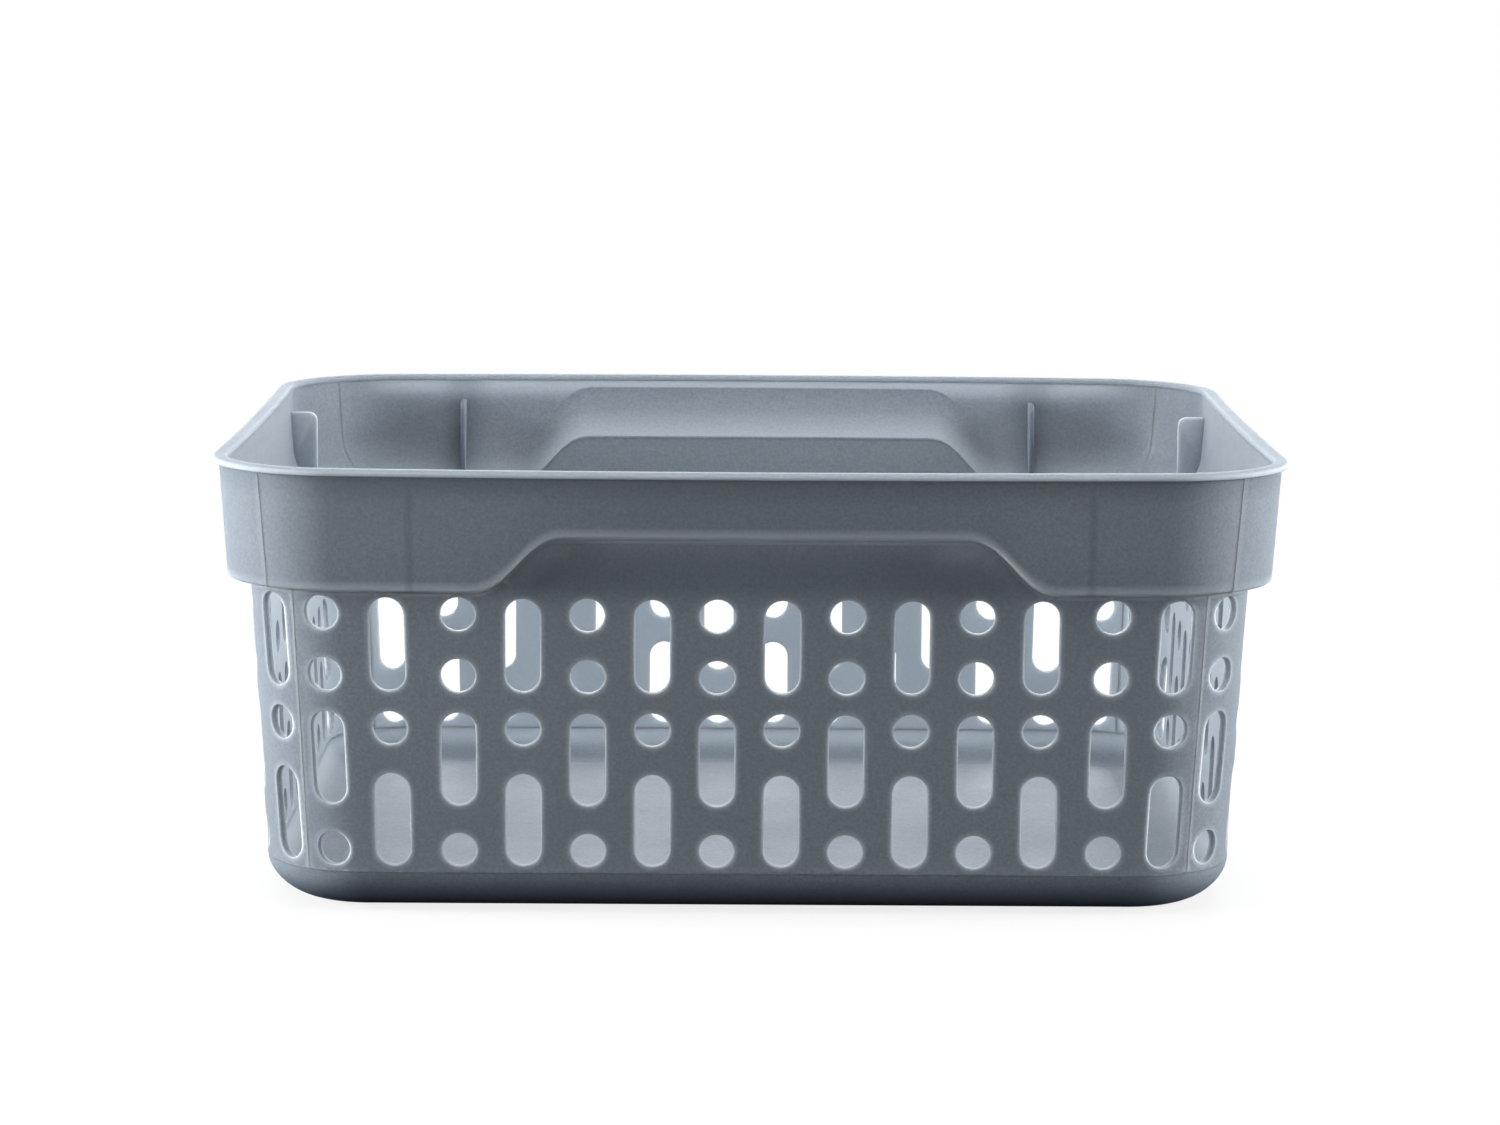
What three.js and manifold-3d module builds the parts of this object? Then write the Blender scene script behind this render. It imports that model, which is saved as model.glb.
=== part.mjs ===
// Cosmetic storage basket: one thin moulded shell with a stepped collar, a flat lip,
// walls perforated with circles and slots, a rounded base edge and a recessed floor.
// Millimetres, +Z up, origin at the middle of the footprint on the surface it stands on.
// Front is -Y. The shell is divided where its mould divides it and where its form changes.

import * as THREE from 'three';
import { mergeVertices } from 'three/addons/utils/BufferGeometryUtils.js';
import Module from 'manifold-3d';

const wasm = await Module();
wasm.setup();

// Driving sizes of the whole basket
const rimWidth = 249.2;
const rimDepth = 202;
const height = 104.5;
const wallThickness = 1.8;
const seam = 0.3;

// Lip round the top, which runs from the collar's inner face out past its outer one
const lipThickness = 1.5;
const lipOverhang = 1.6;
const rimCornerRadius = 30;

// How far the long walls swell outward and the end walls draw in at the rim
const rimCrown = 5;
const rimWaist = 1.2;

// Collar, the stepped band under the lip. It hangs as a skirt outside a ramp, which joins
// it to the wall: the ramp starts just under the skirt's foot and ends above it.
const collarDepth = 26.6;
const collarDraft = 0.0717;
const collarStep = 5.25;
const rampStart = 0.6;
const rampRise = 9.4;

// Handle recess, where the foot of the collar rises. Its widths are shares of the rim's width.
const handleHeight = 12.8;
const handleTopShare = 0.357;
const handleFootShare = 0.542;
const handleOffset = 3.2;

// Body walls below the collar
const wallFootHeight = 9.7;
const wallDraft = 0.0443;
const wallTopCornerRadius = 21.5;
const wallFootCornerRadius = 25;

// Base edge, floor and foot. The base edge is a quarter ellipse at a bow of 1, and flatter above.
const baseInset = 11.3;
const baseBow = 1.14;
const floorThickness = 2;
const floorRecess = 1.2;
const footWidth = 4.5;

// Perforation. The columns spread over a share of each flat side at the wall's foot, and the
// rows over the height between two margins, where slots are two row steps long plus a hole.
const holeDiameter = 7.9;
const frontColumns = 10;
const frontSpreadShare = 0.7545;
const sideColumns = 7;
const sideSpreadShare = 0.642;
const frontCornerShares = [0.363, 0.7];
const sideCornerShares = [0.33, 0.64];
const topRowMargin = 0.55;
const footRowMargin = 1.55;
const rowStepShare = 0.1293;
const slotEndShare = 0.95;
const holeSides = 8;

// Stacking ribs behind the collar. They stand at a share of the way from the handle recess,
// or from the middle of an end wall, to where the corner starts.
const ribThickness = 1.3;
const ribRise = 12.8;
const frontRibShare = 0.26;
const sideRibShare = 0.93;

// The mould parts at each corner, this far in from the outer face of the end wall
const partingInset = 11.7;

// How finely the outline and the base edge are divided
const longCornerSteps = 2;
const endCornerSteps = 4;
const flatSteps = 4;
const handleSlopeSteps = 4;
const baseSteps = 3;

const halfWidth = rimWidth / 2;
const halfDepth = rimDepth / 2;
const lipUnderside = height - lipThickness;
const collarFootHeight = lipUnderside - collarDepth;
const handleTopHalfWidth = halfWidth * handleTopShare;
const handleFootHalfWidth = halfWidth * handleFootShare;
const quarterTurn = Math.PI / 2;

// A level is the plan outline at one height: half sizes, corner radius, crown and waist, and
// the angle from the long wall at which the mould parts.
function level(inset, radius, z) {
  const rise = z / height;
  return {
    halfX: halfWidth - inset,
    halfY: halfDepth - inset,
    radius,
    crown: rimCrown * rise,
    waist: rimWaist * rise,
    parting: Math.asin(1 - partingInset / radius),
    z,
  };
}

function inward(plan, distance) {
  return {
    ...plan,
    halfX: plan.halfX - distance,
    halfY: plan.halfY - distance,
    radius: plan.radius - distance,
  };
}

function collarInset(z) {
  return lipOverhang + collarDraft * (lipUnderside - z);
}

function collarLevel(z) {
  return level(collarInset(z), rimCornerRadius - collarInset(z), z);
}

const wallTopInset = collarInset(collarFootHeight) + collarStep;

function wallLevel(z) {
  const drop = collarFootHeight - z;
  const share = drop / (collarFootHeight - wallFootHeight);
  const radius = THREE.MathUtils.lerp(wallTopCornerRadius, wallFootCornerRadius, share);
  return level(wallTopInset + wallDraft * drop, radius, z);
}

// A station is a place along the outline: a share of a flat side, or an angle or a bend round
// a corner. A bend of 1 is where the mould parts, 0 and 2 are the corner's ends, and a gap
// moves it on by a length. Sides run front, right, back, left; corner k follows side k.
function cornerAngle(plan, station) {
  if (station.angle !== undefined) {
    return station.angle;
  }
  const long = station.side % 2 === 0;
  const fromLong = long ? station.bend : 2 - station.bend;
  const onLong = plan.parting * fromLong;
  const onEnd = THREE.MathUtils.lerp(plan.parting, quarterTurn, fromLong - 1);
  const angle = fromLong <= 1 ? onLong : onEnd;
  return (long ? angle : quarterTurn - angle) + station.gap / plan.radius;
}

function planPoint(plan, station) {
  const { halfX, halfY, radius } = plan;
  const straightX = halfX - radius;
  const straightY = halfY - radius;
  const turn = station.side * quarterTurn;
  const alongX = station.side % 2 === 0;
  const straight = alongX ? straightX : straightY;
  const reach = alongX ? halfY : halfX;
  let along = straight * station.share;
  let out = reach;
  if (station.share === undefined) {
    const angle = cornerAngle(plan, station);
    along = straight + radius * Math.sin(angle);
    out = reach - radius + radius * Math.cos(angle);
  }
  const x = along * Math.cos(turn) + out * Math.sin(turn);
  const y = along * Math.sin(turn) - out * Math.cos(turn);
  const crowned = y * (1 + (plan.crown / halfY) * (1 - (x / halfX) ** 2));
  const waisted = x * (1 - (plan.waist / halfX) * (1 - (y / halfY) ** 2));
  return new THREE.Vector3(waisted, crowned, plan.z);
}

function flatStations(side) {
  const stations = [];
  for (let i = 0; i <= flatSteps; i += 1) {
    stations.push({ side, share: -1 + (2 * i) / flatSteps });
  }
  return stations;
}

// On the long walls the stations follow the slopes of the handle recess.
function handleStations(side) {
  const straight = halfWidth - rimCornerRadius;
  const sense = side === 0 ? 1 : -1;
  const places = [0];
  for (let i = 0; i <= handleSlopeSteps; i += 1) {
    const reach = THREE.MathUtils.lerp(handleTopHalfWidth, handleFootHalfWidth, i / handleSlopeSteps);
    places.push(reach, -reach);
  }
  const shares = places.map((place) => ((place + handleOffset) * sense) / straight);
  return [-1, ...shares.sort((a, b) => a - b), 1].map((share) => ({ side, share }));
}

// Half a corner, from its start to where the mould parts or from there to its end.
function cornerStations(side, half) {
  const onLong = (side % 2 === 0) === (half === 0);
  const steps = onLong ? longCornerSteps : endCornerSteps;
  const stations = [];
  for (let i = 0; i <= steps; i += 1) {
    stations.push({ side, bend: half + i / steps, gap: 0 });
  }
  return stations;
}

// The run of stations that one mould face makes: a side and half of both corners.
function faceStations(side) {
  const before = cornerStations((side + 3) % 4, 1);
  const after = cornerStations(side, 0);
  before[0].gap = seam / 2;
  after.at(-1).gap = -seam / 2;
  const flat = side % 2 === 0 ? handleStations(side) : flatStations(side);
  return [...before.slice(0, -1), ...flat, ...after.slice(1)];
}

function ringStations() {
  const stations = [];
  for (let side = 0; side < 4; side += 1) {
    stations.push(...flatStations(side));
    stations.push(...cornerStations(side, 0).slice(1));
    stations.push(...cornerStations(side, 1).slice(1, -1));
  }
  return stations;
}

// Sweeps a closed section along the stations. sectionAt gives the section's corners as plans.
function sweep(stations, sectionAt, closed) {
  const rings = stations.map((station) => sectionAt(station).map((plan) => planPoint(plan, station)));
  const count = rings[0].length;
  const positions = rings.flat().flatMap((p) => [p.x, p.y, p.z]);
  const index = [];
  const spans = closed ? rings.length : rings.length - 1;
  for (let i = 0; i < spans; i += 1) {
    const a = i * count;
    const b = ((i + 1) % rings.length) * count;
    for (let j = 0; j < count; j += 1) {
      const k = (j + 1) % count;
      index.push(a + j, b + j, b + k);
      index.push(a + j, b + k, a + k);
    }
  }
  if (!closed) {
    const outline = sectionAt(stations[0]).map((plan) => new THREE.Vector2(plan.halfX, plan.z));
    const last = (rings.length - 1) * count;
    for (const face of THREE.ShapeUtils.triangulateShape(outline, [])) {
      const corners = face.map((corner) => outline[corner]);
      const alike = THREE.ShapeUtils.area(corners) * THREE.ShapeUtils.area(outline) > 0;
      const [p, q, r] = alike ? face : [...face].reverse();
      index.push(p, q, r);
      index.push(last + p, last + r, last + q);
    }
  }
  const geometry = new THREE.BufferGeometry();
  geometry.setAttribute('position', new THREE.Float32BufferAttribute(positions, 3));
  geometry.setIndex(index);
  return geometry;
}

function toSolid(geometry) {
  const bare = geometry.clone();
  bare.deleteAttribute('normal');
  bare.deleteAttribute('uv');
  const merged = mergeVertices(bare);
  const mesh = new wasm.Mesh({
    numProp: 3,
    vertProperties: new Float32Array(merged.attributes.position.array),
    triVerts: new Uint32Array(merged.index.array),
  });
  return new wasm.Manifold(mesh);
}

function toGeometry(solid) {
  const mesh = solid.getMesh();
  const geometry = new THREE.BufferGeometry();
  geometry.setAttribute('position', new THREE.Float32BufferAttribute(mesh.vertProperties, 3));
  geometry.setIndex(new THREE.Uint32BufferAttribute(mesh.triVerts, 1));
  return geometry;
}

// How far the collar's foot rises along the front or back: nothing at the sides, all of it
// over the handle recess, with a smooth slope between.
function handleRise(x) {
  const reach = Math.abs(x - handleOffset);
  const slope = (handleFootHalfWidth - reach) / (handleFootHalfWidth - handleTopHalfWidth);
  return handleHeight * THREE.MathUtils.smootherstep(slope, 0, 1);
}

function footAt(station) {
  if (station.side % 2 === 1 || station.share === undefined) {
    return collarFootHeight;
  }
  const plan = collarLevel(collarFootHeight);
  return collarFootHeight + handleRise(planPoint(plan, station).x);
}

// The ramp's upright thickness gives it the wall's thickness square to its slope, and its
// underside runs on at the same slope from the skirt in to the wall.
const rampThickness = wallThickness * Math.hypot(1, rampRise / collarStep);
const rampUndersideDrop = ((collarStep - wallThickness) * rampRise) / collarStep;

function rampHeights(foot) {
  const start = foot - rampStart;
  const top = start + rampRise;
  const undersideTop = top - rampThickness;
  return { start, top, undersideTop, undersideFoot: undersideTop - rampUndersideDrop };
}

// One face of the collar: the band, its skirt and the ramp in to the body wall.
function collarFace(side) {
  const sectionAt = (station) => {
    const foot = footAt(station);
    const ramp = rampHeights(foot);
    return [
      inward(collarLevel(lipUnderside), wallThickness),
      inward(collarLevel(ramp.top), wallThickness),
      inward(wallLevel(ramp.start), wallThickness),
      inward(wallLevel(ramp.undersideFoot), wallThickness),
      wallLevel(ramp.undersideFoot),
      inward(collarLevel(ramp.undersideTop), wallThickness),
      inward(collarLevel(foot), wallThickness),
      collarLevel(foot),
      collarLevel(lipUnderside),
    ];
  };
  return sweep(faceStations(side), sectionAt, false);
}

// One face of the body wall, up to the ramp above it.
function wallFace(side) {
  const sectionAt = (station) => {
    const top = rampHeights(footAt(station)).undersideFoot - seam;
    return [
      inward(wallLevel(top), wallThickness),
      inward(wallLevel(wallFootHeight), wallThickness),
      wallLevel(wallFootHeight),
      wallLevel(top),
    ];
  };
  return sweep(faceStations(side), sectionAt, false);
}

// One hole's outline: a circle or an upright slot.
function holeShape(length) {
  const radius = holeDiameter / 2;
  const straight = (length - holeDiameter) / 2;
  const points = [];
  const half = holeSides / 2;
  for (const end of [1, -1]) {
    for (let i = 0; i <= half; i += 1) {
      const angle = (i / half) * Math.PI + (end < 0 ? Math.PI : 0);
      const repeated = straight === 0 && i === half;
      if (!repeated) {
        points.push(new THREE.Vector2(radius * Math.cos(angle), radius * Math.sin(angle) + end * straight));
      }
    }
  }
  return new THREE.Shape(points);
}

// A cutter for one hole, which runs well through the wall along its outward line.
function holeCutter(length, place, outward) {
  const depth = 5 * wallThickness;
  const geometry = new THREE.ExtrudeGeometry(holeShape(length), { depth, bevelEnabled: false });
  geometry.translate(0, 0, -depth / 2);
  const up = new THREE.Vector3(0, 0, 1);
  const across = new THREE.Vector3().crossVectors(up, outward).normalize();
  geometry.applyMatrix4(new THREE.Matrix4().makeBasis(across, up, outward));
  geometry.translate(place.x, place.y, place.z);
  return toSolid(geometry);
}

function straightOf(plan, side) {
  return (side % 2 === 0 ? plan.halfX : plan.halfY) - plan.radius;
}

function stationOnFlat(plan, side, offset) {
  return { side, share: offset / straightOf(plan, side) };
}

// Columns near a corner divide the run between the last flat column and the corner's middle.
// Sense is 1 for the far end of the side and -1 for the near end, and share 1 is the corner.
function stationNearCorner(plan, side, sense, share) {
  const straight = straightOf(plan, side);
  const middle = straight + (plan.radius * Math.PI) / 4;
  const run = THREE.MathUtils.lerp(lastColumn(side), middle, share);
  if (run <= straight) {
    return { side, share: (sense * run) / straight };
  }
  const angle = (run - straight) / plan.radius;
  return sense > 0 ? { side, angle } : { side: (side + 3) % 4, angle: quarterTurn - angle };
}

function columnCount(side) {
  return side % 2 === 0 ? frontColumns : sideColumns;
}

function lastColumn(side) {
  const share = side % 2 === 0 ? frontSpreadShare : sideSpreadShare;
  return share * straightOf(wallLevel(wallFootHeight), side);
}

// The rows run from a margin over the wall's foot to a margin under the ramp.
const wallTopHeight = rampHeights(collarFootHeight).undersideFoot - seam;
const topRow = wallTopHeight - topRowMargin - holeDiameter / 2;
const footRow = wallFootHeight + footRowMargin + holeDiameter / 2;
const rowStep = rowStepShare * (topRow - footRow);
const slotLength = 2 * rowStep + slotEndShare * holeDiameter;

// A column's kind: even columns hold a circle, a slot and two circles from the foot up, and
// odd ones a slot, a circle and a slot.
function columnRows(kind) {
  if (kind === 0) {
    return [
      { z: footRow, length: holeDiameter },
      { z: footRow + 3 * rowStep, length: slotLength },
      { z: topRow - 2 * rowStep, length: holeDiameter },
      { z: topRow, length: holeDiameter },
    ];
  }
  return [
    { z: footRow + rowStep, length: slotLength },
    { z: footRow + 4 * rowStep, length: holeDiameter },
    { z: topRow - rowStep, length: slotLength },
  ];
}

function outwardAt(plan, station) {
  const centre = planPoint(plan, station);
  const outer = planPoint(inward(plan, -wallThickness), station);
  return outer.sub(centre).setZ(0).normalize();
}

function columnCutters(kind, stationAt) {
  return columnRows(kind).map(({ z, length }) => {
    const plan = wallLevel(z);
    const station = stationAt(plan);
    return holeCutter(length, planPoint(plan, station), outwardAt(plan, station));
  });
}

// Kinds alternate round the basket. The left end of the front starts with a circle column,
// and each corner's middle column takes the kind that its neighbours leave to it.
function flatCutters(side) {
  const count = columnCount(side);
  const sense = side < 2 ? 1 : -1;
  const firstKind = side === 1 ? 1 : 0;
  const cutters = [];
  for (let i = 0; i < count; i += 1) {
    const offset = sense * lastColumn(side) * ((2 * i) / (count - 1) - 1);
    const kind = (i + firstKind) % 2;
    cutters.push(...columnCutters(kind, (plan) => stationOnFlat(plan, side, offset)));
  }
  return cutters;
}

function cornerCutters(side, sense) {
  const corner = sense > 0 ? side : (side + 3) % 4;
  const cornerKind = corner < 2 ? 0 : 1;
  const shares = side % 2 === 0 ? frontCornerShares : sideCornerShares;
  const cutters = [];
  shares.forEach((share, i) => {
    const kind = (i + cornerKind) % 2;
    cutters.push(...columnCutters(kind, (plan) => stationNearCorner(plan, side, sense, share)));
  });
  if (side % 2 === 1) {
    cutters.push(...columnCutters(cornerKind, (plan) => stationNearCorner(plan, side, sense, 1)));
  }
  return cutters;
}

function perforatedWall(side) {
  const cutters = [...flatCutters(side), ...cornerCutters(side, 1), ...cornerCutters(side, -1)];
  let solid = toSolid(wallFace(side));
  for (const cutter of cutters) {
    solid = solid.subtract(cutter);
  }
  return toGeometry(solid);
}

// The lip: a flat flange round the top, proud of the collar.
function lip() {
  const lipWidth = lipOverhang + wallThickness;
  const outer = level(0, rimCornerRadius, height);
  const section = [
    inward(outer, lipWidth),
    inward({ ...outer, z: lipUnderside }, lipWidth),
    { ...outer, z: lipUnderside },
    outer,
  ];
  return sweep(ringStations(), () => section, true);
}

// The base edge rolls the wall under, down to the foot.
function baseEdge() {
  const wallFoot = wallLevel(wallFootHeight);
  const top = wallFootHeight - seam;
  const floorTop = floorRecess + floorThickness;
  const outer = [];
  const inner = [];
  for (let i = 0; i <= baseSteps; i += 1) {
    const angle = (i / baseSteps) * quarterTurn;
    const turned = 1 - Math.cos(angle) ** baseBow;
    const dropped = i < baseSteps ? Math.sin(angle) ** baseBow : 1;
    const innerInset = wallThickness + (baseInset - wallThickness) * turned;
    outer.push({ ...inward(wallFoot, baseInset * turned), z: top * (1 - dropped) });
    inner.push({ ...inward(wallFoot, innerInset), z: top - (top - floorTop) * dropped });
  }
  const foot = inward(wallFoot, baseInset + footWidth);
  const section = [
    ...inner,
    { ...foot, z: floorTop },
    { ...foot, z: 0 },
    ...outer.reverse(),
  ];
  return sweep(ringStations(), () => section, true);
}

// The floor fills the foot ring, lifted off the surface.
function floorPanel() {
  const edge = inward(wallLevel(wallFootHeight), baseInset + footWidth + seam);
  const outline = ringStations().map((station) => {
    const point = planPoint(edge, station);
    return new THREE.Vector2(point.x, point.y);
  });
  const geometry = new THREE.ExtrudeGeometry(new THREE.Shape(outline), {
    depth: floorThickness,
    bevelEnabled: false,
  });
  geometry.translate(0, 0, floorRecess);
  return geometry;
}

// A stacking rib: a thin upright plate that stands on the ramp, inside the collar.
function ribPlace(side) {
  const straight = straightOf(collarLevel(collarFootHeight), side);
  if (side % 2 === 1) {
    return sideRibShare * straight;
  }
  return THREE.MathUtils.lerp(handleFootHalfWidth + handleOffset, straight, frontRibShare);
}

function stackingRib(side, sense) {
  const long = side % 2 === 0;
  const place = sense * ribPlace(side);
  const ramp = rampHeights(collarFootHeight);
  const ribTop = ramp.top + ribRise;
  const behind = wallThickness + seam;
  const pointOn = (plan) => planPoint(plan, stationOnFlat(plan, side, place));
  const collarPoint = (z) => pointOn(inward(collarLevel(z), behind));
  const front = pointOn(inward(wallLevel(ramp.start), behind));
  const reachOf = (point) => Math.abs(long ? point.y : point.x);
  const profile = new THREE.Shape([
    new THREE.Vector2(reachOf(front), ramp.start + seam),
    new THREE.Vector2(reachOf(collarPoint(ramp.top)), ramp.top + seam),
    new THREE.Vector2(reachOf(collarPoint(ribTop)), ribTop),
    new THREE.Vector2(reachOf(front), ribTop),
  ]);
  const geometry = new THREE.ExtrudeGeometry(profile, { depth: ribThickness, bevelEnabled: false });
  geometry.translate(0, 0, -ribThickness / 2);
  geometry.rotateX(quarterTurn);
  geometry.rotateZ((side - 1) * quarterTurn);
  geometry.translate(long ? front.x : 0, long ? 0 : front.y, 0);
  return geometry;
}

const basket = new THREE.Group();

function addPart(name, geometry, color, roughness) {
  const material = new THREE.MeshStandardMaterial({ color, roughness, metalness: 0 });
  const mesh = new THREE.Mesh(geometry, material);
  mesh.name = name;
  basket.add(mesh);
}

const sideNames = ['front', 'right', 'back', 'left'];

addPart('rim_lip', lip(), 0x8a939c, 0.5);
sideNames.forEach((name, side) => {
  addPart(`${name}_collar`, collarFace(side), 0x7d868f, 0.55);
  addPart(`${name}_wall`, perforatedWall(side), 0x7d868f, 0.55);
});
addPart('base_edge', baseEdge(), 0x767f88, 0.55);
addPart('floor_panel', floorPanel(), 0x848d96, 0.5);
sideNames.forEach((name, side) => {
  addPart(`${name}_stacking_rib_1`, stackingRib(side, -1), 0x7d868f, 0.55);
  addPart(`${name}_stacking_rib_2`, stackingRib(side, 1), 0x7d868f, 0.55);
});

export default basket;
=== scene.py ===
"""Cosmetic storage basket: the fine surfaces, materials, light and camera.

Sizes are in millimetres, as in the part's source. Meshes are made in metres.
"""

import math
from collections import namedtuple

import bpy
import numpy as np
from mathutils import Matrix, Vector
from mathutils.geometry import delaunay_2d_cdt


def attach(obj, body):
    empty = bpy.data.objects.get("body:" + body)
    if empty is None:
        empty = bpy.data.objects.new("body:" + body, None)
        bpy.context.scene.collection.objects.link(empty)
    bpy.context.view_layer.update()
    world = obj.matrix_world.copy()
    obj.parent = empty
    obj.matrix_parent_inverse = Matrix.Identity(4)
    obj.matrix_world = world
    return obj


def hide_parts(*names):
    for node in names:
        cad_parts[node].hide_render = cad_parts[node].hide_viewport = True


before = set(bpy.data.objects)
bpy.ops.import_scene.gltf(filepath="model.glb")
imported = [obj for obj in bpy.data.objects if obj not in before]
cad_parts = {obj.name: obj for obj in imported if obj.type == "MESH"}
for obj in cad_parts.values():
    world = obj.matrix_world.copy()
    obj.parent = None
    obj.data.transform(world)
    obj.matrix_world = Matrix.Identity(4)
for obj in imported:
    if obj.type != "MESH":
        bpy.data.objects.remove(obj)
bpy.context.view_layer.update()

METRES = 0.001
QUARTER_TURN = math.pi / 2
SIDES = ("front", "right", "back", "left")

# Overall sizes. The long sides bow out by the crown at the rim, and the ends bow in by the waist.
RIM_WIDTH = 249.2
RIM_DEPTH = 202
HEIGHT = 104.5
THICKNESS = 1.8
SEAM = 0.3
RIM_CROWN = 5
RIM_WAIST = 1.2
RIM_RADIUS = 30

# Lip and collar. The collar's foot rises over the handle recess of the long sides.
LIP_THICKNESS = 1.5
LIP_OVERHANG = 1.6
LIP_ROUNDING = 1.1
LIP_INNER_ROUNDING = LIP_ROUNDING / 2
LIP_UNDER_ROUNDING = LIP_ROUNDING / 4
LIP_CLEARANCE = 0.02
COLLAR_DEPTH = 26.6
COLLAR_DRAFT = 0.0717
COLLAR_STEP = 5.25
RAMP_START = 0.6
RAMP_RISE = 9.4
HANDLE_HEIGHT = 12.8
HANDLE_TOP_SHARE = 0.357
HANDLE_FOOT_SHARE = 0.542
HANDLE_TOP_REACH = HANDLE_TOP_SHARE * RIM_WIDTH / 2
HANDLE_FOOT_REACH = HANDLE_FOOT_SHARE * RIM_WIDTH / 2
HANDLE_OFFSET = 3.2

# Walls and base
WALL_FOOT = 9.7
WALL_DRAFT = 0.0443
WALL_TOP_RADIUS = 21.5
WALL_FOOT_RADIUS = 25
BASE_INSET = 11.3
BASE_BOW = 1.14
FLOOR_THICKNESS = 2
FLOOR_RECESS = 1.2
FOOT_WIDTH = 4.5

# Holes. Counts and spreads go by side, and corner shares from a wall's last column to the
# middle of the corner.
HOLE_RADIUS = 3.95
HOLE_ROUNDING = 0.1
COLUMN_COUNTS = (10, 7, 10, 7)
SPREAD_SHARES = (0.7545, 0.642, 0.7545, 0.642)
FRONT_CORNER_SHARES = (0.363, 0.7)
SIDE_CORNER_SHARES = (0.33, 0.64)
ROW_STEP_SHARE = 0.1293
SLOT_END_SHARE = 0.95
TOP_ROW_MARGIN = 0.55
FOOT_ROW_MARGIN = 1.55

# Ribs
RIB_THICKNESS = 1.3
RIB_RISE = 12.8
FRONT_RIB_PLACE = 76.7
SIDE_RIB_PLACE = 66

# Mould lines. Those at the corners lie the parting inset within the outline.
PARTING_INSET = 11.7
LINE_WIDTH = 0.3
LINE_RISE = 0.07

LIP_UNDERSIDE = HEIGHT - LIP_THICKNESS
COLLAR_FOOT = LIP_UNDERSIDE - COLLAR_DEPTH

# The ramp joins the collar to the wall with the wall's thickness square to its slope.
RAMP_THICKNESS = THICKNESS * math.hypot(1, RAMP_RISE / COLLAR_STEP)
RAMP_UNDERSIDE_DROP = (COLLAR_STEP - THICKNESS) * RAMP_RISE / COLLAR_STEP
WALL_TOP_DROP = RAMP_START - RAMP_RISE + RAMP_THICKNESS + RAMP_UNDERSIDE_DROP

TOP_ROW = COLLAR_FOOT - WALL_TOP_DROP - SEAM - TOP_ROW_MARGIN - HOLE_RADIUS
FOOT_ROW = WALL_FOOT + FOOT_ROW_MARGIN + HOLE_RADIUS
ROW_STEP = ROW_STEP_SHARE * (TOP_ROW - FOOT_ROW)
SLOT_HALF = ROW_STEP + SLOT_END_SHARE * HOLE_RADIUS - HOLE_RADIUS

# The places between the points of a swept outline, where one corner or one side is 1 long
FACE_CORNER_STEP = 0.03
FACE_FLAT_STEP = 0.0125
ROUND_CORNER_STEP = 0.05
ROUND_FLAT_STEP = 0.04

# Edges that bend by more than this stay sharp.
SHARP_ANGLE = math.radians(38)

# A plan is the outline at one height: how far inside the rim, its corner radius, the angle
# from the long wall at which the mould parts each corner, and the height.
Plan = namedtuple("Plan", "inset radius parting z")


def mix(a, b, share):
    return a + (b - a) * share


def smooth(share):
    """Rises gently from 0 to 1 as the share does, and stays level beyond."""
    share = np.clip(share, 0, 1)
    return share**3 * (share * (6 * share - 15) + 10)


def level(inset, radius, z):
    """A plan whose corners part at the mould's line."""
    return Plan(inset, radius, np.arcsin(1 - PARTING_INSET / radius), z)


def inward(plan, distance):
    return plan._replace(inset=plan.inset + distance, radius=plan.radius - distance)


def collar_plan(z):
    """The outer face of the collar."""
    inset = LIP_OVERHANG + COLLAR_DRAFT * (LIP_UNDERSIDE - z)
    return level(inset, RIM_RADIUS - inset, z)


def wall_plan(z):
    """The outer face of the walls."""
    drop = COLLAR_FOOT - z
    share = drop / (COLLAR_FOOT - WALL_FOOT)
    inset = collar_plan(COLLAR_FOOT).inset + COLLAR_STEP + WALL_DRAFT * drop
    return level(inset, mix(WALL_TOP_RADIUS, WALL_FOOT_RADIUS, share), z)


def parting_from(side, parting):
    """The angle from the end of a side to where the mould parts the corner."""
    return np.where(side % 2 == 0, parting, QUARTER_TURN - parting)


def angle_of_bend(bend, parted):
    """A bend runs round a corner from 0 to 2, and is 1 where the mould parts."""
    return np.where(bend <= 1, parted * bend, mix(parted, QUARTER_TURN, bend - 1))


def bend_of_angle(angle, parted):
    """The bend at an angle, the other way round."""
    beyond = (angle - parted) / (QUARTER_TURN - parted)
    return np.where(angle <= parted, angle / parted, 1 + beyond)


def outline_points(plan, place):
    """Points on plans at places round the outline, where the place runs from 0 to 8: side k
    from 2k to 2k + 1, and the corner after it on to 2k + 2."""
    inset, radius, parting, z, place = np.broadcast_arrays(*plan, place)
    half_x = RIM_WIDTH / 2 - inset
    half_y = RIM_DEPTH / 2 - inset
    side = np.floor(place / 2)
    part = place - 2 * side
    long = side % 2 == 0
    straight = np.where(long, half_x, half_y) - radius
    reach = np.where(long, half_y, half_x)
    bend = 2 * np.clip(part - 1, 0, 1)
    angle = angle_of_bend(bend, parting_from(side, parting))
    along = straight * np.clip(2 * part - 1, -1, 1) + radius * np.sin(angle)
    out = reach - radius + radius * np.cos(angle)
    turn = side * QUARTER_TURN
    x = along * np.cos(turn) + out * np.sin(turn)
    y = along * np.sin(turn) - out * np.cos(turn)
    up_share = z / HEIGHT
    crowned = y * (1 + RIM_CROWN * up_share / half_y * (1 - (x / half_x) ** 2))
    waisted = x * (1 - RIM_WAIST * up_share / half_x * (1 - (y / half_y) ** 2))
    return np.stack([waisted, crowned, z], axis=-1)


def straight_run(side, plan):
    """Half the length of the flat part of a side."""
    half = RIM_WIDTH / 2 if side % 2 == 0 else RIM_DEPTH / 2
    return half - plan.inset - plan.radius


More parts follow.
